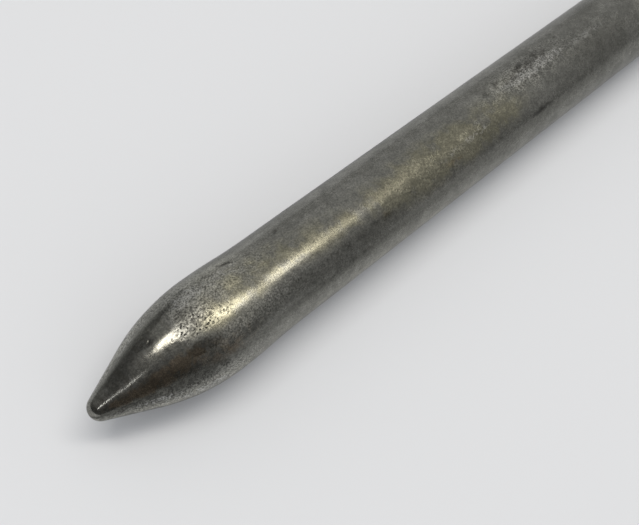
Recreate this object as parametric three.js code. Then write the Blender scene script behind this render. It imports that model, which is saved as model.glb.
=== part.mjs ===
// Solid steel center punch, lying on its side with the point towards -X.
// The tool is one bar of hardened tool steel: ground nose, round shank, struck head.
// Every surface is turned about one axis, so a single revolved profile describes it.
import * as THREE from "three";

// Driving dimensions, in millimetres (angles in degrees).
const OVERALL_LENGTH = 152.4;
const SHANK_RADIUS = 6.35;

const TIP_RADIUS = 1.65;          // worn, rounded point
const CONE_HALF_ANGLE = 24;       // straight cone just behind the point
const NOSE_LENGTH = 18.4;         // point to the widest ring of the shoulder
const SHOULDER_RADIUS = 6.62;     // the shoulder swells slightly over the shank
const SHOULDER_FADE_LENGTH = 9.5; // swell dies away into the shank over this length

const HEAD_LIP_RADIUS = SHOULDER_RADIUS; // head spread by hammer blows
const HEAD_FLARE_LENGTH = 5;      // shank widens to the lip over this length
const HEAD_CROWN_LENGTH = 2.2;    // lip to struck face, measured along the axis
const STRUCK_FACE_RADIUS = 4.6;   // flat that meets the hammer

// Flats round the axis. A multiple of four puts one flat underneath, which the punch rests
// on, and 16 flats are wide enough that it doesn't roll away on a slight slope.
const FACETS = 16;
const HALF_FACET = Math.PI / FACETS;
const STEPS_PER_CURVE = 8;

// Radius of the ogive arc that touches the cone at one end and, at the shoulder, runs
// parallel to the axis.
function ogiveRadius(halfAngle) {
  const coneStartRadius = TIP_RADIUS * Math.cos(halfAngle);
  const coneStartDistance = TIP_RADIUS * (1 - Math.sin(halfAngle));
  const riseOfFullCone = Math.tan(halfAngle) * (NOSE_LENGTH - coneStartDistance);
  const riseToShoulder = SHOULDER_RADIUS - coneStartRadius;
  return (riseOfFullCone - riseToShoulder) / (1 / Math.cos(halfAngle) - 1);
}

// Profile in the half-plane of radius and distance behind the point.
function punchProfile() {
  const halfAngle = THREE.MathUtils.degToRad(CONE_HALF_ANGLE);
  const ogive = ogiveRadius(halfAngle);
  const profile = new THREE.Path();

  // Rounded point: starts on the axis and ends where the cone begins.
  profile.absarc(0, TIP_RADIUS, TIP_RADIUS, -Math.PI / 2, -halfAngle, false);

  // Straight cone, then the ogive; absarc draws the joining line to its own start.
  profile.absarc(SHOULDER_RADIUS - ogive, NOSE_LENGTH, ogive, -halfAngle, 0, false);

  // Shoulder swell fading into the shank.
  const fadeMiddle = NOSE_LENGTH + SHOULDER_FADE_LENGTH / 2;
  const fadeEnd = NOSE_LENGTH + SHOULDER_FADE_LENGTH;
  profile.bezierCurveTo(SHOULDER_RADIUS, fadeMiddle, SHANK_RADIUS, fadeMiddle, SHANK_RADIUS, fadeEnd);

  // Plain shank.
  const lipDistance = OVERALL_LENGTH - HEAD_CROWN_LENGTH;
  const flareStart = lipDistance - HEAD_FLARE_LENGTH;
  const flareMiddle = lipDistance - HEAD_FLARE_LENGTH / 2;
  profile.lineTo(SHANK_RADIUS, flareStart);

  // Head flaring out to its lip, then rounding over to meet the flat struck face.
  profile.bezierCurveTo(
    SHANK_RADIUS, flareMiddle,
    HEAD_LIP_RADIUS, flareMiddle,
    HEAD_LIP_RADIUS, lipDistance,
  );
  profile.quadraticCurveTo(HEAD_LIP_RADIUS, OVERALL_LENGTH, STRUCK_FACE_RADIUS, OVERALL_LENGTH);
  profile.lineTo(0, OVERALL_LENGTH);
  return profile.getPoints(STEPS_PER_CURVE);
}

function punchGeometry() {
  const geometry = new THREE.LatheGeometry(punchProfile(), FACETS, HALF_FACET);
  // The flats, not the corners between them, lie at the true radius.
  const cornerOverFlat = 1 / Math.cos(HALF_FACET);
  geometry.scale(cornerOverFlat, 1, cornerOverFlat);
  geometry.rotateZ(-Math.PI / 2);
  geometry.translate(-OVERALL_LENGTH / 2, 0, SHOULDER_RADIUS);
  return geometry;
}

const toolSteel = new THREE.MeshStandardMaterial({
  color: 0x5b5a55,
  roughness: 0.45,
  metalness: 1,
});
toolSteel.name = "tool_steel";

const punch = new THREE.Mesh(punchGeometry(), toolSteel);
punch.name = "punch";

const centerPunch = new THREE.Group();
centerPunch.name = "center_punch";
centerPunch.add(punch);

export default centerPunch;
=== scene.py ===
"""A solid steel center punch lying on a pale surface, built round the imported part."""
import math
import random

import bpy
import numpy as np
from mathutils import Matrix, Vector, kdtree, noise

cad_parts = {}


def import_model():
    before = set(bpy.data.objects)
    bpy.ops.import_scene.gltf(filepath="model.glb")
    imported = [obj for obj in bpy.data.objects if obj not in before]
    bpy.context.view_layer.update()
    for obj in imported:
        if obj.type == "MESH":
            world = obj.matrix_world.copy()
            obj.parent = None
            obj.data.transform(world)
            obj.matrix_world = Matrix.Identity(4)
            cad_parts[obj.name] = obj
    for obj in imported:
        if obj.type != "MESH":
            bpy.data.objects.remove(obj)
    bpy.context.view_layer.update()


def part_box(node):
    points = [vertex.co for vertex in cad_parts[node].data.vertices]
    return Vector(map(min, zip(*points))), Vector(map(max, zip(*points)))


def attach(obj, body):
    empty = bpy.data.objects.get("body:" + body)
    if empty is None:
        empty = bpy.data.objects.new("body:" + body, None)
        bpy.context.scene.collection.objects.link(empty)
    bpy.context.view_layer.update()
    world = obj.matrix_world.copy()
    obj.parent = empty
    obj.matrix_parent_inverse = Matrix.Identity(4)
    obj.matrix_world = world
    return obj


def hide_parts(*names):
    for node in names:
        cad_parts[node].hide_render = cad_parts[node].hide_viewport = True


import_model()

MM = 0.001

# The punch's own measures in millimetres. Its length, shoulder and axis come from the frame.
low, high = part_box("punch")
LENGTH = (high.x - low.x) / MM
SHOULDER_RADIUS = (high.z - low.z) / 2 / MM
AXIS_HEIGHT = (high.z + low.z) / 2 / MM
POINT_X = low.x / MM
SHANK_RADIUS = 6.35
TIP_RADIUS = 1.65               # of the worn, rounded point
CONE_HALF_ANGLE = math.radians(24)
NOSE_LENGTH = 18.4              # from the point to the widest ring of the shoulder
SHOULDER_FADE_LENGTH = 9.5      # from that ring to the plain shank
HEAD_LIP_RADIUS = SHOULDER_RADIUS
HEAD_FLARE_LENGTH = 5.0
HEAD_CROWN_LENGTH = 2.2
HEAD_LIP_DISTANCE = LENGTH - HEAD_CROWN_LENGTH
STRUCK_FACE_RADIUS = 4.6

# The wear is placed by distance behind the point, in millimetres, and angle round the axis, in
# degrees. The angle starts from a line this far above the -Y side and grows towards the top.
MARKS_TURN = math.radians(14)

SEGMENTS = 220                  # vertices round each ring
RANDOM_SEED = 7


# ---------------------------------------------------------------- turned outline

ARC_STEPS = 40                  # points on the worn point's arc, and on the crown of the head
OGIVE_STEPS = 80                # points on the curved part of the nose
SWELL_STEPS = 60                # points on each swell of the shank
FINE_STEPS = 20000              # points of the outline when it is measured along its length
SLOPE_REACH = 0.05              # the slope is taken over this much outline to either side

# Gap between rings of vertices, in millimetres, at distances behind the point.
RING_GAPS = [(0, 0.10), (2, 0.16), (9, 0.22), (11, 0.13), (18, 0.13), (21, 0.22), (32, 0.37), (45, 0.55),
             (70, 0.55), (73, 0.32), (86, 0.32), (90, 0.8), (145, 0.8), (147, 0.28), (152.4, 0.20)]


def bezier(points, steps):
    """Points along a quadratic or cubic Bezier curve, without the first one."""
    u = np.linspace(0, 1, steps + 1)[1:, None]
    degree = len(points) - 1
    terms = [math.comb(degree, k) * u**k * (1 - u) ** (degree - k) * np.array(p)
             for k, p in enumerate(points)]
    return list(sum(terms))


def punch_profile():
    """The turned outline as (distance behind the point, radius), from the point to the head's centre."""
    slope = CONE_HALF_ANGLE
    cone_radius = TIP_RADIUS * math.cos(slope)
    cone_start = TIP_RADIUS * (1 - math.sin(slope))
    rise = math.tan(slope) * (NOSE_LENGTH - cone_start) - (SHOULDER_RADIUS - cone_radius)
    ogive = rise / (1 / math.cos(slope) - 1)
    outline = [np.array((TIP_RADIUS * (1 - math.cos(a)), TIP_RADIUS * math.sin(a)))
               for a in np.linspace(0, math.pi / 2 - slope, ARC_STEPS)]
    outline += [np.array((NOSE_LENGTH - ogive * math.sin(a), SHOULDER_RADIUS - ogive * (1 - math.cos(a))))
                for a in np.linspace(slope, 0, OGIVE_STEPS)]
    fade_middle = NOSE_LENGTH + SHOULDER_FADE_LENGTH / 2
    fade_end = NOSE_LENGTH + SHOULDER_FADE_LENGTH
    outline += bezier([(NOSE_LENGTH, SHOULDER_RADIUS), (fade_middle, SHOULDER_RADIUS),
                       (fade_middle, SHANK_RADIUS), (fade_end, SHANK_RADIUS)], SWELL_STEPS)
    flare_start = HEAD_LIP_DISTANCE - HEAD_FLARE_LENGTH
    flare_middle = HEAD_LIP_DISTANCE - HEAD_FLARE_LENGTH / 2
    outline += bezier([(flare_start, SHANK_RADIUS), (flare_middle, SHANK_RADIUS),
                       (flare_middle, HEAD_LIP_RADIUS), (HEAD_LIP_DISTANCE, HEAD_LIP_RADIUS)], SWELL_STEPS)
    outline += bezier([(HEAD_LIP_DISTANCE, HEAD_LIP_RADIUS), (LENGTH, HEAD_LIP_RADIUS),
                       (LENGTH, STRUCK_FACE_RADIUS)], ARC_STEPS)
    outline.append(np.array((LENGTH, 0.0)))
    return np.array(outline)


def ring_stations():
    """Where each ring lies: distance, radius and the two parts of its outward normal."""
    outline = punch_profile()
    step = np.linalg.norm(np.diff(outline, axis=0), axis=1)
    along = np.concatenate([[0], np.cumsum(step)])
    fine = np.linspace(0, along[-1], FINE_STEPS)
    distance = np.interp(fine, along, outline[:, 0])
    radius = np.interp(fine, along, outline[:, 1])
    gap = np.interp(distance, *zip(*RING_GAPS))
    count = np.concatenate([[0], np.cumsum(np.diff(fine) / gap[1:])])
    rings = int(count[-1])
    s = np.interp(np.linspace(0, count[-1], rings + 1)[1:-1], count, fine)
    t = np.interp(s, fine, distance)
    r = np.interp(s, fine, radius)
    ahead, behind = s + SLOPE_REACH, s - SLOPE_REACH
    dt = np.interp(ahead, fine, distance) - np.interp(behind, fine, distance)
    dr = np.interp(ahead, fine, radius) - np.interp(behind, fine, radius)
    size = np.hypot(dt, dr)
    return t, r, -dr / size, dt / size


def radius_at(t, rings):
    return float(np.interp(t, rings[0], rings[1]))


def surface_point(t, r, around):
    """Position in the frame, in millimetres, at distance t, radius r and an angle in radians."""
    angle = around + MARKS_TURN
    return np.stack([POINT_X + t, -r * np.cos(angle), AXIS_HEIGHT + r * np.sin(angle)], -1)


# ---------------------------------------------------------------- pits, nicks and dents

# Patches of corrosion pits: middle distance, middle angle, half length, half angle, count,
# smallest and largest pit radius, depth over radius.
PIT_PATCHES = [
    (14.8, 70, 1.9, 9, 130, 0.13, 0.22, 0.30),
    (17, 80, 3.5, 26, 60, 0.13, 0.26, 0.16),
    (20, 92, 6, 22, 70, 0.14, 0.28, 0.07),
    (78, 84, 6, 12, 90, 0.25, 0.55, 0.09),
    (76, 25, 3, 4, 16, 0.2, 0.45, 0.10),
    (9, 180, 12, 150, 90, 0.13, 0.28, 0.09),
    (70, 180, 55, 180, 420, 0.2, 0.5, 0.04),
    (30, 250, 8, 30, 90, 0.2, 0.4, 0.10),
    (110, 200, 10, 30, 90, 0.2, 0.5, 0.09),
    (128, 60, 9, 35, 90, 0.2, 0.5, 0.08),
]
PIT_SCATTER = 1.7               # a patch's half size over the standard deviation of its pits
NEAREST_PIT = 0.8               # distance behind the point
HEAD_WITHOUT_PITS = 3           # length at the head that the patches leave free

# Nicks and scratches: distance and angle at each end, radius of the dents in it, depth.
NICKS = [
    ((21.9, 112), (23.6, 104), 0.28, 0.08),
    ((19.2, 109), (20.6, 104), 0.22, 0.05),
    ((30.4, 103), (31.0, 107), 0.30, 0.06),
    ((52.3, 33), (53.4, 31), 0.20, 0.05),
    ((9.2, 88), (9.6, 92), 0.30, 0.06),
    ((8.4, 92), (8.8, 96), 0.26, 0.05),
    ((6.6, 69), (9.0, 77), 0.13, 0.015),
    ((65, 200), (68, 214), 0.3, 0.05),
    ((97, 150), (99, 141), 0.35, 0.05),
    ((119, 20), (120, 32), 0.3, 0.05),
    ((133, 300), (134, 290), 0.35, 0.06),
    ((44, 275), (46, 270), 0.3, 0.05),
]
NICK_DENTS = 7                  # dents in a row that make up one nick
NICK_DENT_SHARE = 0.5           # of the nick's depth, because neighbouring dents may add up

FACE_DENTS = 46                 # hammer marks on the struck face
FACE_DENT_REACH = STRUCK_FACE_RADIUS + 0.8
FACE_DENT_RADIUS = (0.5, 1.5)
FACE_DENT_STEEPNESS = (0.03, 0.09)


def pit_list(rings, rng):
    """Centre, radius and depth of every pit and dent, in millimetres."""
    pits = []
    for t0, a0, half_length, half_angle, count, small, large, steep in PIT_PATCHES:
        for _ in range(count):
            t = min(max(rng.gauss(t0, half_length / PIT_SCATTER), NEAREST_PIT), LENGTH - HEAD_WITHOUT_PITS)
            angle = math.radians(rng.gauss(a0, half_angle / PIT_SCATTER))
            size = small + (large - small) * rng.random() ** 2
            pits.append((surface_point(t, radius_at(t, rings), angle), size, size * steep))
    for (t1, a1), (t2, a2), size, depth in NICKS:
        for u in np.linspace(0, 1, NICK_DENTS):
            t = t1 + (t2 - t1) * u
            angle = math.radians(a1 + (a2 - a1) * u)
            pits.append((surface_point(t, radius_at(t, rings), angle), size, depth * NICK_DENT_SHARE))
    for _ in range(FACE_DENTS):
        reach = FACE_DENT_REACH * math.sqrt(rng.random())
        angle = rng.uniform(0, math.tau)
        size = rng.uniform(*FACE_DENT_RADIUS)
        pits.append((surface_point(LENGTH, reach, angle), size, size * rng.uniform(*FACE_DENT_STEEPNESS)))
    return pits


def sunk_depth(points, pits):
    """How far each vertex is sunk by the pits, in millimetres."""
    flat = points.reshape(-1, 3)
    tree = kdtree.KDTree(len(flat))
    for i, p in enumerate(flat):
        tree.insert(p, i)
    tree.balance()
    depth = np.zeros(len(flat))
    for centre, size, deep in pits:
        for _, i, gap in tree.find_range(centre, size):
            depth[i] += deep * (1 - (gap / size) ** 2) ** 2
    return depth.reshape(points.shape[:-1])


# ---------------------------------------------------------------- wear marks and painted light

# Soft-edged marks that the material draws on: middle distance, middle angle, half length, half angle,
# strength. Each list becomes one vertex attribute of the same name. Besides wear, several lists paint in
# highlights, reflections and shade, as noted at each. What lies out of the photographer's sight comes last in
# each list.
MARKS = {
    "pitted": [
        (14.7, 70, 1.9, 11, 1.2), (14.5, 86, 2, 12, 0.35), (17.5, 66, 4.5, 15, 0.45), (78, 85, 6.5, 10, 0.8),
        # out of sight
        (8, 215, 6, 40, 0.5), (30, 250, 7, 26, 0.6), (110, 200, 9, 28, 0.6), (128, 60, 8, 30, 0.5),
    ],
    "grainy": [
        (7, 0, 8, 20, 0.8), (8, 132, 7, 10, 0.8), (15, 100, 4, 26, 0.7), (16, -5, 5, 20, 0.5),
        (20, 92, 9, 20, 0.7), (22, 40, 9, 12, 0.8), (55, 50, 16, 30, 0.4), (79, 82, 9, 20, 1.0),
        # out of sight, the last one all round the head
        (8, 235, 8, 60, 0.7), (40, 215, 22, 60, 0.7), (95, 260, 18, 50, 0.7), (120, 120, 14, 60, 0.8),
        (143, 0, 8, 400, 0.6),
    ],
    "olive": [
        (19, 60, 5, 13, 0.8), (25, 84, 9, 17, 0.65), (33, 62, 9, 14, 0.5), (56, 58, 17, 30, 1.0),
        (66, 45, 6, 15, 0.5),
        # out of sight
        (40, 200, 14, 35, 0.7), (90, 250, 20, 40, 0.8), (118, 60, 13, 30, 0.8),
    ],
    "rusty": [
        (3, 42, 1.5, 12, 0.5), (5.2, 32, 2.6, 9, 0.7), (9, 37, 7, 16, 0.5), (9.8, 42, 3.6, 10, 1.0),
        (16.5, 22, 3, 9, 0.35), (20, 30, 5, 12, 0.25), (44, 41, 1.6, 6, 0.35), (58, 42, 2.6, 7, 0.4),
        # out of sight
        (12, 232, 5, 28, 0.8), (30, 190, 5, 16, 0.7), (60, 232, 8, 18, 0.7), (95, 200, 6, 25, 0.8),
        (118, 125, 7, 20, 0.8), (138, 60, 5, 30, 0.9), (142, 250, 5, 30, 0.8),
    ],
    # The long stains along the lower flank of the shank, at 34 and 36 mm, and those low on the nose at 5.5
    # and 14 mm, are partly painted shade where the steel mirrors the dim room; the rest are stains.
    "stain_and_shade": [
        # nose
        (4, 78, 3, 14, 0.9), (5.5, 98, 4, 11, 1.0), (5.5, 12, 7, 12, 1.2), (8.6, 95, 0.7, 4.5, 1.2),
        (9, 100, 2, 4, 0.8), (9.4, 89, 0.8, 4.5, 1.5), (12.2, 106, 2.6, 4.5, 1.4),
        # shoulder
        (13.4, 46, 0.8, 5, 1.0), (14.0, 45, 3.2, 9, 0.8), (14, 14, 5, 12, 0.5), (15.0, 42, 0.7, 4, 1.0),
        (16, 112, 2, 5, 0.6), (20.5, 108, 2.5, 5, 0.5), (22.8, 108, 1.0, 2.2, 1.2),
        # shank
        (34, 38, 14, 10, 0.55), (36, 18, 16, 9, 0.6), (46, 37, 6, 7, 0.35), (66, 102, 3, 4, 0.35),
        (72, 95, 1.5, 4, 0.4), (76.5, 25, 2.8, 4.0, 1.0), (78.5, 92, 2.2, 4, 0.8), (95, 34, 12, 20, 0.35),
        # out of sight
        (18, 200, 4, 22, 0.8), (52, 165, 7, 12, 0.6), (84, 215, 4, 16, 0.8), (124, 20, 4, 10, 0.7),
        (133, 175, 6, 22, 0.7), (151, 200, 2, 30, 0.7), (151.5, 20, 2, 50, 0.9),
    ],
    # Mostly painted light: the marks round the nose and shoulder highlights are painted highlight, and those
    # along the upper and lower rims are painted reflection of the pale floor. The wide patches at about 16 to
    # 21 mm and 92 to 97 degrees, at 73 mm, and those out of sight are pale grey patches of the steel.
    "pale": [
        # nose and shoulder
        (6, 139, 7, 8, 1.0), (8.6, 65, 1.8, 4.5, 0.35), (10.3, 82, 1.6, 4, 0.4), (10.3, 104, 1.6, 16, 0.25),
        (12.5, -20, 5, 12, 0.9), (14, 131, 9, 7, 0.3), (15, 67, 0.7, 4, 0.3), (16, 97, 3, 14, 0.25),
        (18.5, 40, 5, 8, 0.28), (20, 50, 4, 9, 0.7), (20.5, 92, 4.5, 19, 0.85), (21, 112, 4, 9, 0.5),
        (22, 57, 3, 7, 0.4), (27, 92, 3.5, 9, 0.2),
        # shank
        (40, -20, 40, 13, 0.8), (52, -17, 45, 9, 0.3), (72, 130, 26, 7, 0.3), (73, 86, 3, 10, 0.7),
        # out of sight
        (52, 262, 10, 30, 0.6), (118, 215, 9, 30, 0.6),
    ],
    # Mostly painted shade: these darken the lower flank and the upper side, where the steel mirrors the
    # shaded floor and the dim room, and dim parts of the highlights on the nose, shoulder and shank. The two
    # out of sight are dull tarnish.
    "shade_and_tarnish": [
        # nose and shoulder
        (6, 22, 9, 8, 1.2), (6, 112, 5, 8, 0.9), (7, -1, 5, 9, 0.8), (13, 67, 0.9, 7, 0.45),
        (14, 60.5, 1.3, 3.5, 0.8), (14.2, 83, 1.3, 7, 0.9), (18.2, 71, 1.3, 4.5, 0.45),
        # shank
        (36, 15, 30, 10, 1.1), (43, 63, 9, 6, 0.6), (46, 141, 24, 8, 1.0), (80, 18, 22, 12, 0.7),
        (92, 56, 9, 28, 0.85),
        # out of sight
        (104, 190, 16, 26, 0.6), (130, 320, 10, 30, 0.6),
    ],
    # The marks at the tip and along the nose's upper rim, near 122 to 137 degrees, are painted reflection of
    # the pale floor; the rest are frosty grey patches.
    "frost_and_reflection": [
        # nose and shoulder
        (2, 134, 2, 9, 0.9), (6.8, 4, 4.5, 8, 0.6), (8, 122, 5, 7, 0.5), (8, 137, 6, 6, 0.9),
        (10.5, -12, 5, 9, 0.6), (13.8, -14, 2.2, 8, 1.1), (15.8, 101, 2.4, 11, 0.9), (21.5, 98, 4, 13, 0.5),
        # shank
        (57, 50, 3, 7, 0.4), (64, 52, 5, 9, 0.5), (78.5, 78, 6.5, 9, 1.2), (92, 72, 6, 8, 0.5),
        # out of sight
        (26, 285, 6, 20, 0.6), (50, 185, 9, 25, 0.7), (120, 135, 8, 25, 0.8), (140, 0, 5, 24, 0.7),
    ],
}

# The "sunk" layer paints shade into the mesh's pits, nicks and dents, the deeper the darker.
FULL_PIT_DEPTH = 0.03           # a pit this deep counts fully in the "sunk" layer
FACE_DENT_SHADE = 0.25          # the share that hammer marks on the head count

# The polished part of the nose: where it ends behind the point, and how far it reaches to either
# side of its middle angle. Each edge fades over the second number.
POLISHED_END, POLISHED_END_FADE = 13.4, 1.4
POLISHED_ANGLE = 68
POLISHED_HALF_ANGLE, POLISHED_SIDE_FADE = 54, 18


def turn_from(angle, around):
    """How far each vertex lies round the axis from an angle, -180 to 180 degrees."""
    return (np.degrees(around) - angle + 180) % 360 - 180


def soft_marks(t, around, spots):
    """Sum of the soft-edged marks in one list, at each vertex."""
    total = 0 * t * around
    for middle, angle, half_length, half_angle, strength in spots:
        turn = turn_from(angle, around)
        total += strength * np.exp(-((t - middle) / half_length) ** 2 - (turn / half_angle) ** 2)
    return total


def wear_and_painted_light_layers(t, around, pits):
    """Every layer that the material reads, by name, at each vertex."""
    layers = {name: soft_marks(t, around, spots) for name, spots in MARKS.items()}
    # Painted shade in the pits, nicks and dents, weaker on the struck face.
    layers["sunk"] = np.clip(pits / FULL_PIT_DEPTH, 0, 1)
    layers["sunk"] = layers["sunk"] * np.where(t > HEAD_LIP_DISTANCE, FACE_DENT_SHADE, 1)
    turn = np.abs(turn_from(POLISHED_ANGLE, around))
    before_end = np.clip((POLISHED_END - t) / POLISHED_END_FADE, 0, 1)
    within_sides = np.clip((POLISHED_HALF_ANGLE - turn) / POLISHED_SIDE_FADE, 0, 1)
    layers["polished"] = before_end * within_sides
    layers["grainy"] = layers["grainy"] * (1 - layers["polished"])
    return layers


# ---------------------------------------------------------------- mesh

# Waves of the ground surface, in millimetres: wavelength, height on the shank, extra on the nose.
WAVES = [(7.0, 0.02, 0.02), (2.6, 0.006, 0.004)]
NOSE_WAVE_FADE = 6              # length of the nose over which the extra height fades out
HAMMERED_LENGTH = 6             # of the uneven stretch at the head
HAMMERED_FADE = 3               # the part of it over which the unevenness comes in
HAMMERED_DEPTH, HAMMERED_WAVELENGTH = 0.22, 3.4
WAVE_ROOM = 0.02                # the mean surface lies this far inside the turned outline
TIP_SINK = 0.012                # of the vertex at the point
FACE_SINK = 0.05                # of the vertex at the struck face's centre


def smooth_noise(points, wavelength, seed):
    """Perlin noise, about -0.5 to 0.5, at each point."""
    shift = Vector((17.3 * seed, -5.1 * seed, 9.7 * seed))
    flat = points.reshape(-1, 3) / wavelength
    values = [noise.noise(Vector(p) + shift) for p in flat]
    return np.array(values).reshape(points.shape[:-1])


def uneven_depth(points, t):
    """How far grinding and hammering leave each vertex inside the turned outline, in millimetres."""
    nose = np.clip((NOSE_LENGTH - t) / NOSE_WAVE_FADE, 0, 1)
    waviness = 0
    for seed, (wavelength, height, nose_extra) in enumerate(WAVES, start=1):
        waviness += smooth_noise(points, wavelength, seed) * (height + nose_extra * nose)
    head = np.clip((t - (LENGTH - HAMMERED_LENGTH)) / HAMMERED_FADE, 0, 1)
    seed = len(WAVES) + 1
    hammered = head * HAMMERED_DEPTH * (0.5 + smooth_noise(points, HAMMERED_WAVELENGTH, seed))
    return WAVE_ROOM + waviness + hammered


def ring_faces(ring_count):
    """Quads between neighbouring rings, and a fan at each end round one of the last two vertices."""
    rows = np.arange(ring_count - 1)[:, None] * SEGMENTS
    column = np.arange(SEGMENTS)[None, :]
    after = (column + 1) % SEGMENTS
    quads = np.stack([rows + column, rows + after, rows + after + SEGMENTS, rows + column + SEGMENTS], -1)
    faces = quads.reshape(-1, 4).tolist()
    last_ring = (ring_count - 1) * SEGMENTS
    tip = ring_count * SEGMENTS
    face_centre = tip + 1
    for j in range(SEGMENTS):
        k = (j + 1) % SEGMENTS
        faces.append((tip, k, j))
        faces.append((last_ring + j, last_ring + k, face_centre))
    return faces


def punch_mesh():
    rng = random.Random(RANDOM_SEED)
    rings = ring_stations()
    t, r, normal_t, normal_r = (values[:, None] for values in rings)
    around = np.linspace(0, math.tau, SEGMENTS, endpoint=False)[None, :] - math.pi / 2
    points = surface_point(t + 0 * around, r + 0 * around, around + 0 * t)

    pits = sunk_depth(points, pit_list(rings, rng))
    sink = np.maximum(uneven_depth(points, t) + pits, 0)
    shaped = surface_point(t - sink * normal_t, r - sink * normal_r, around + 0 * t)
    tip = surface_point(TIP_SINK, 0.0, 0.0)
    face_centre = surface_point(LENGTH - FACE_SINK, 0.0, 0.0)
    verts = np.vstack([shaped.reshape(-1, 3), tip, face_centre]) * MM

    mesh = bpy.data.meshes.new("center_punch")
    mesh.from_pydata(verts.tolist(), [], ring_faces(len(t)))
    mesh.update()
    mesh.polygons.foreach_set("use_smooth", [True] * len(mesh.polygons))
    for name, values in wear_and_painted_light_layers(t, around, pits).items():
        attribute = mesh.attributes.new(name, "FLOAT", "POINT")
        attribute.data.foreach_set("value", np.append(values.ravel(), (values[0, 0], values[-1, 0])))
    return mesh


# ---------------------------------------------------------------- tool steel

STEEL = (0.204, 0.203, 0.184, 1)
BRIGHT_STEEL = (0.274, 0.272, 0.249, 1)
# Frosty grey, and painted reflection of the floor on the nose's upper rim.
FROST_AND_REFLECTION = (0.40, 0.40, 0.385, 1)          # mixed over the steel
# Painted shade inside holes and dents.
HOLE_SHADE = (0.035, 0.034, 0.031, 1)         # mixed over everything else
WHITE = (1, 1, 1, 1)
# The colours below multiply the steel's.
OLIVE = (1.0, 0.965, 0.80, 1)
RUST = (1.10, 0.93, 0.78, 1)
# Stains, and partly painted shade on the lower flank, multiplied into the steel.
STAIN_AND_SHADE = (0.50, 0.50, 0.50, 1)
# Painted highlight and painted reflection, and pale grey patches, multiplied into the steel.
PALE_AND_SHEEN = (1.75, 1.73, 1.67, 1)
# Painted shade, and dull tarnish out of sight, multiplied into the steel.
SHADE_AND_TARNISH = (0.52, 0.52, 0.51, 1)
GRINDING_RING = (0.72, 0.70, 0.66, 1)


class Graph:
    """Short calls for building a node material."""

    def __init__(self, material):
        material.use_nodes = True
        self.nodes = material.node_tree.nodes
        self.link = material.node_tree.links.new
        coords = self.nodes.new("ShaderNodeTexCoord")
        scale = self.nodes.new("ShaderNodeMapping")
        scale.inputs["Scale"].default_value = (1 / MM,) * 3
        self.link(coords.outputs["Object"], scale.inputs["Vector"])
        self.millimetres = scale.outputs["Vector"]

    def put(self, socket, value):
        """Link a node's output to a socket, or set a constant on it."""
        if isinstance(value, bpy.types.NodeSocket):
            self.link(value, socket)
        else:
            socket.default_value = value

    def clouds(self, wavelength, detail=3.0, rough=0.6, squash=(1, 1, 1)):
        """Noise, 0 to 1, with features about one wavelength (mm) across."""
        vector = self.millimetres
        if squash != (1, 1, 1):
            stretch = self.nodes.new("ShaderNodeMapping")
            stretch.inputs["Scale"].default_value = squash
            self.link(vector, stretch.inputs["Vector"])
            vector = stretch.outputs["Vector"]
        tex = self.nodes.new("ShaderNodeTexNoise")
        tex.inputs["Scale"].default_value = 1 / wavelength
        tex.inputs["Detail"].default_value = detail
        tex.inputs["Roughness"].default_value = rough
        self.link(vector, tex.inputs["Vector"])
        return tex.outputs["Fac"]

    def cells(self, wavelength):
        """Distance from the middle of the nearest cell, in cell widths."""
        tex = self.nodes.new("ShaderNodeTexVoronoi")
        tex.inputs["Scale"].default_value = 1 / wavelength
        self.link(self.millimetres, tex.inputs["Vector"])
        return tex.outputs["Distance"]

    def layer(self, name):
        """One of the mesh's layers of wear and painted light."""
        node = self.nodes.new("ShaderNodeAttribute")
        node.attribute_name = name
        return node.outputs["Fac"]

    def math(self, operation, a, b):
        node = self.nodes.new("ShaderNodeMath")
        node.operation = operation
        self.put(node.inputs[0], a)
        self.put(node.inputs[1], b)
        return node.outputs[0]

    def times(self, a, b):
        return self.math("MULTIPLY", a, b)

    def plus(self, a, b):
        return self.math("ADD", a, b)

    def map(self, value, low, high, to_low=0.0, to_high=1.0):
        """Smooth step of a value from one range to another."""
        node = self.nodes.new("ShaderNodeMapRange")
        node.interpolation_type = "SMOOTHSTEP"
        self.put(node.inputs["Value"], value)
        for socket, number in zip(("From Min", "From Max", "To Min", "To Max"), (low, high, to_low, to_high)):
            node.inputs[socket].default_value = number
        return node.outputs["Result"]

    def broken(self, name, cloud, low, high):
        """A mark layer whose edges are broken up by noise."""
        ragged = self.times(self.layer(name), self.map(cloud, 0.30, 0.66, 0.35, 1.5))
        return self.map(ragged, low, high)

    def tint(self, amount, colour, other, blend="MIX"):
        """The colour, changed by the other one as far as the amount says."""
        node = self.nodes.new("ShaderNodeMix")
        node.data_type = "RGBA"
        node.blend_type = blend
        self.put(node.inputs["Factor"], amount)
        self.put(node.inputs[6], colour)
        self.put(node.inputs[7], other)
        return node.outputs[2]


def small_holes(g, pitted, mottle):
    """1 inside small sharp holes and 0 outside: fine ones in pitted places, fainter ones in mesh pits."""
    holes = g.map(g.cells(0.40), 0.20, 0.36, 1.0, 0.0)
    tiny_holes = g.map(g.cells(0.24), 0.18, 0.34, 1.0, 0.0)
    holes = g.math("MAXIMUM", holes, g.times(tiny_holes, 0.7))
    holes = g.times(holes, g.map(g.times(pitted, g.map(mottle, 0.3, 0.6, 0.4, 1.4)), 0.3, 0.8))
    return g.math("MAXIMUM", holes, g.times(g.layer("sunk"), 0.6))


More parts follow.
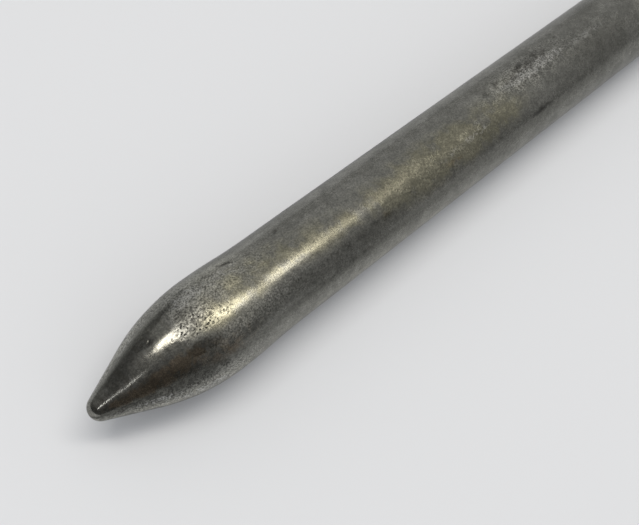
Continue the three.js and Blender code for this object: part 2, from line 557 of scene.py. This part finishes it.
def tool_steel():
    """Ground and hardened steel: polished nose, grainy shoulder, patina, rust tint and frosty patches, with
    painted highlights, reflections and shade in the colour.
    """
    material = bpy.data.materials.new("tool_steel")
    g = Graph(material)
    shader = g.nodes["Principled BSDF"]
    shader.inputs["Metallic"].default_value = 0.95
    shader.inputs["Specular Tint"].default_value = (0.60, 0.60, 0.60, 1)

    blotches = g.clouds(3.4, 4, 0.62)
    mottle = g.clouds(1.1, 4, 0.7)
    speckle = g.clouds(0.22, 2, 0.7)
    dust = g.clouds(0.10, 1, 0.5)
    rings = g.clouds(0.55, 3, 0.6, (1, 0.05, 0.05))
    polished = g.layer("polished")
    pitted = g.layer("pitted")
    grainy = g.broken("grainy", mottle, 0.1, 0.8)
    # Partly painted reflection along the nose's upper rim.
    frost_and_reflection = g.broken("frost_and_reflection", g.clouds(0.55, 3, 0.7), 0.35, 0.8)
    # Mostly painted shade.
    shade_and_tarnish = g.times(g.layer("shade_and_tarnish"), g.map(blotches, 0.30, 0.70, 0.65, 1.0))
    holes = small_holes(g, pitted, mottle)

    colour = g.tint(g.map(blotches, 0.32, 0.70), STEEL, BRIGHT_STEEL)
    colour = g.tint(1.0, colour, g.map(mottle, 0.32, 0.68, 0.88, 1.12), "MULTIPLY")
    colour = g.tint(g.broken("olive", blotches, 0.15, 0.95), colour, OLIVE, "MULTIPLY")
    colour = g.tint(g.broken("rusty", mottle, 0.15, 0.95), colour, RUST, "MULTIPLY")
    # Stains, with some painted shade along the lower flank.
    colour = g.tint(g.broken("stain_and_shade", mottle, 0.25, 0.95), colour, STAIN_AND_SHADE, "MULTIPLY")
    # Painted highlights and painted reflections of the floor, with a few pale grey patches.
    colour = g.tint(g.layer("pale"), colour, PALE_AND_SHEEN, "MULTIPLY")
    # Painted shade on the flanks and in the highlights, with some dull tarnish.
    colour = g.tint(shade_and_tarnish, colour, SHADE_AND_TARNISH, "MULTIPLY")
    # Frosty patches, and painted reflection of the floor along the nose's upper rim.
    colour = g.tint(g.times(frost_and_reflection, 0.6), colour, FROST_AND_REFLECTION)

    # Fine grain, much stronger on the grainy stretches, and faint grinding rings on the polished nose.
    grain_strength = g.plus(0.38, g.times(grainy, 0.58))
    grain = g.tint(grain_strength, WHITE, g.map(speckle, 0.34, 0.66, 0.35, 1.6))
    colour = g.tint(1.0, colour, grain, "MULTIPLY")
    ring_strength = g.map(g.times(rings, polished), 0.38, 0.62, 0.0, 0.5)
    colour = g.tint(ring_strength, colour, GRINDING_RING, "MULTIPLY")
    # Painted shade inside the small holes and the mesh's pits, nicks and dents.
    colour = g.tint(g.times(holes, 0.85), colour, HOLE_SHADE)
    g.put(shader.inputs["Base Color"], colour)

    rough = g.map(mottle, 0.3, 0.7, 0.20, 0.27)
    for amount, added in ((grainy, 0.05), (frost_and_reflection, 0.10), (shade_and_tarnish, 0.08), (holes, 0.25),
                          (g.math("MINIMUM", pitted, 1.0), 0.10), (polished, -0.08)):
        rough = g.plus(rough, g.times(amount, added))
    g.put(shader.inputs["Roughness"], rough)

    height = g.times(g.plus(0.10, g.times(grainy, 0.35)), g.plus(speckle, dust))
    height = g.math("SUBTRACT", height, g.times(holes, 1.5))
    bump = g.nodes.new("ShaderNodeBump")
    bump.inputs["Distance"].default_value = 0.02 * MM
    bump.inputs["Strength"].default_value = 0.9
    g.put(bump.inputs["Height"], height)
    g.put(shader.inputs["Normal"], bump.outputs["Normal"])
    return material


# ---------------------------------------------------------------- stage, light and camera

FLOOR_HALF_WIDTH = 4.0          # metres
FLOOR_COLOUR = (0.60, 0.611, 0.634, 1)

LIGHT_TARGET = 15               # the panels face the axis this far behind the point, in millimetres
WARM = (1, 0.955, 0.88)
COOL = (0.955, 0.98, 1)

ROOM = 0.59                     # brightness of the room, except in what the steel mirrors
MIRRORED_ROOM = (0.06, 0.52)    # there it runs from the dark side to the bright side
BRIGHT_SIDE = Vector((0.802, 0.344, 0.487))
DARK_SIDE_DOT = -0.36           # a direction's dot product with BRIGHT_SIDE where the darkest part starts

LENS, SENSOR_WIDTH = 56.3, 36
CAMERA_PLACE = Vector((-23.5, -35.63, 110.5))       # from the point, in millimetres
CAMERA_ELEVATION = math.radians(58.56)              # how far the camera looks down
CAMERA_HEADING = math.radians(29.89)                # from +X towards +Y
CAMERA_ROLL = math.radians(19.0)


def pale_floor():
    size = FLOOR_HALF_WIDTH
    mesh = bpy.data.meshes.new("floor")
    corners = [(-size, -size, 0), (size, -size, 0), (size, size, 0), (-size, size, 0)]
    mesh.from_pydata(corners, [], [(0, 1, 2, 3)])
    floor = bpy.data.objects.new("floor", mesh)
    bpy.context.collection.objects.link(floor)
    paint = bpy.data.materials.new("pale_paper")
    paint.use_nodes = True
    shader = paint.node_tree.nodes["Principled BSDF"]
    shader.inputs["Base Color"].default_value = FLOOR_COLOUR
    shader.inputs["Roughness"].default_value = 0.9
    shader.inputs["Specular IOR Level"].default_value = 0.1
    mesh.materials.append(paint)


def panel_light(name, start, end, width, radiance, colour, glossy=True):
    """A rectangular light facing the punch. Its long middle line runs from start to end, in metres
    from the spot on the axis that LIGHT_TARGET names."""
    start, end = Vector(start), Vector(end)
    along = end - start
    middle = (start + end) / 2
    x_axis = along.normalized()
    z_axis = (middle - middle.project(along)).normalized()
    y_axis = z_axis.cross(x_axis)
    data = bpy.data.lights.new(name, "AREA")
    data.shape = "RECTANGLE"
    data.size, data.size_y = along.length, width
    data.color = colour
    data.energy = radiance * math.pi * along.length * width
    light = bpy.data.objects.new(name, data)
    bpy.context.collection.objects.link(light)
    target = Vector((POINT_X + LIGHT_TARGET, 0, AXIS_HEIGHT)) * MM
    facing = Matrix((x_axis, y_axis, z_axis)).transposed().to_4x4()
    light.matrix_world = Matrix.Translation(target + middle) @ facing
    light.visible_glossy = glossy


def lights():
    """The lamps whose highlights the steel shows, then two fills that it does not mirror."""
    panel_light("ceiling_strip", (-0.352, 0.368, 1), (0.472, -0.290, 1), 0.20, 7.5, WARM)
    panel_light("ceiling_foot", (0.400, -0.350, 1), (0.545, -0.350, 1), 0.07, 6.5, WARM)
    panel_light("ceiling_corner", (-0.315, 0.442, 1), (-0.080, 0.381, 1), 0.10, 6.5, (1, 0.97, 0.92))
    panel_light("side_lamp", (-0.990, -0.350, 1), (-0.715, -0.170, 1), 0.035, 14.0, (1, 1, 1))
    panel_light("overhead_fill", (-0.8, 0, 1.2), (0.8, 0, 1.2), 1.2, 0.50, COOL, glossy=False)
    panel_light("front_fill", (-0.9, -1.0, 0.7), (0.5, -1.2, 0.7), 0.8, 0.5, COOL, glossy=False)


def world():
    """A pale room. What the steel mirrors is dimmer, and brightest overhead and towards the head."""
    sky = bpy.data.worlds.new("studio")
    bpy.context.scene.world = sky
    sky.cycles.sampling_method = "NONE"
    sky.use_nodes = True
    nodes = sky.node_tree.nodes
    link = sky.node_tree.links.new
    background = nodes["Background"]
    coords = nodes.new("ShaderNodeTexCoord")
    dot = nodes.new("ShaderNodeVectorMath")
    dot.operation = "DOT_PRODUCT"
    dot.inputs[1].default_value = BRIGHT_SIDE
    link(coords.outputs["Generated"], dot.inputs[0])
    ramp = nodes.new("ShaderNodeMapRange")
    ramp.inputs["From Min"].default_value = DARK_SIDE_DOT
    ramp.inputs["From Max"].default_value = 1.0
    ramp.inputs["To Min"].default_value, ramp.inputs["To Max"].default_value = MIRRORED_ROOM
    link(dot.outputs["Value"], ramp.inputs["Value"])
    path = nodes.new("ShaderNodeLightPath")
    mix = nodes.new("ShaderNodeMix")
    mix.data_type = "FLOAT"
    link(path.outputs["Is Glossy Ray"], mix.inputs["Factor"])
    mix.inputs[2].default_value = ROOM
    link(ramp.outputs["Result"], mix.inputs[3])
    link(mix.outputs[0], background.inputs["Color"])


def camera():
    """The photographer's view: from above the nose, looking down along the shank, with some roll."""
    data = bpy.data.cameras.new("camera")
    data.sensor_width = SENSOR_WIDTH
    data.lens = LENS
    data.clip_start = 0.005
    view = bpy.data.objects.new("camera", data)
    bpy.context.collection.objects.link(view)
    level = math.cos(CAMERA_ELEVATION)
    look = Vector((math.cos(CAMERA_HEADING) * level, math.sin(CAMERA_HEADING) * level,
                   -math.sin(CAMERA_ELEVATION)))
    facing = look.to_track_quat("-Z", "Y").to_matrix().to_4x4() @ Matrix.Rotation(CAMERA_ROLL, 4, "Z")
    point = Vector((POINT_X, 0, AXIS_HEIGHT))
    view.matrix_world = Matrix.Translation((point + CAMERA_PLACE) * MM) @ facing
    bpy.context.scene.camera = view


# ---------------------------------------------------------------- the scene


punch = bpy.data.objects.new("center_punch", punch_mesh())
bpy.context.collection.objects.link(punch)
punch.data.materials.append(tool_steel())
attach(punch, "root")
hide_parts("punch")

pale_floor()
lights()
world()
camera()
bpy.context.scene.view_settings.view_transform = "Standard"
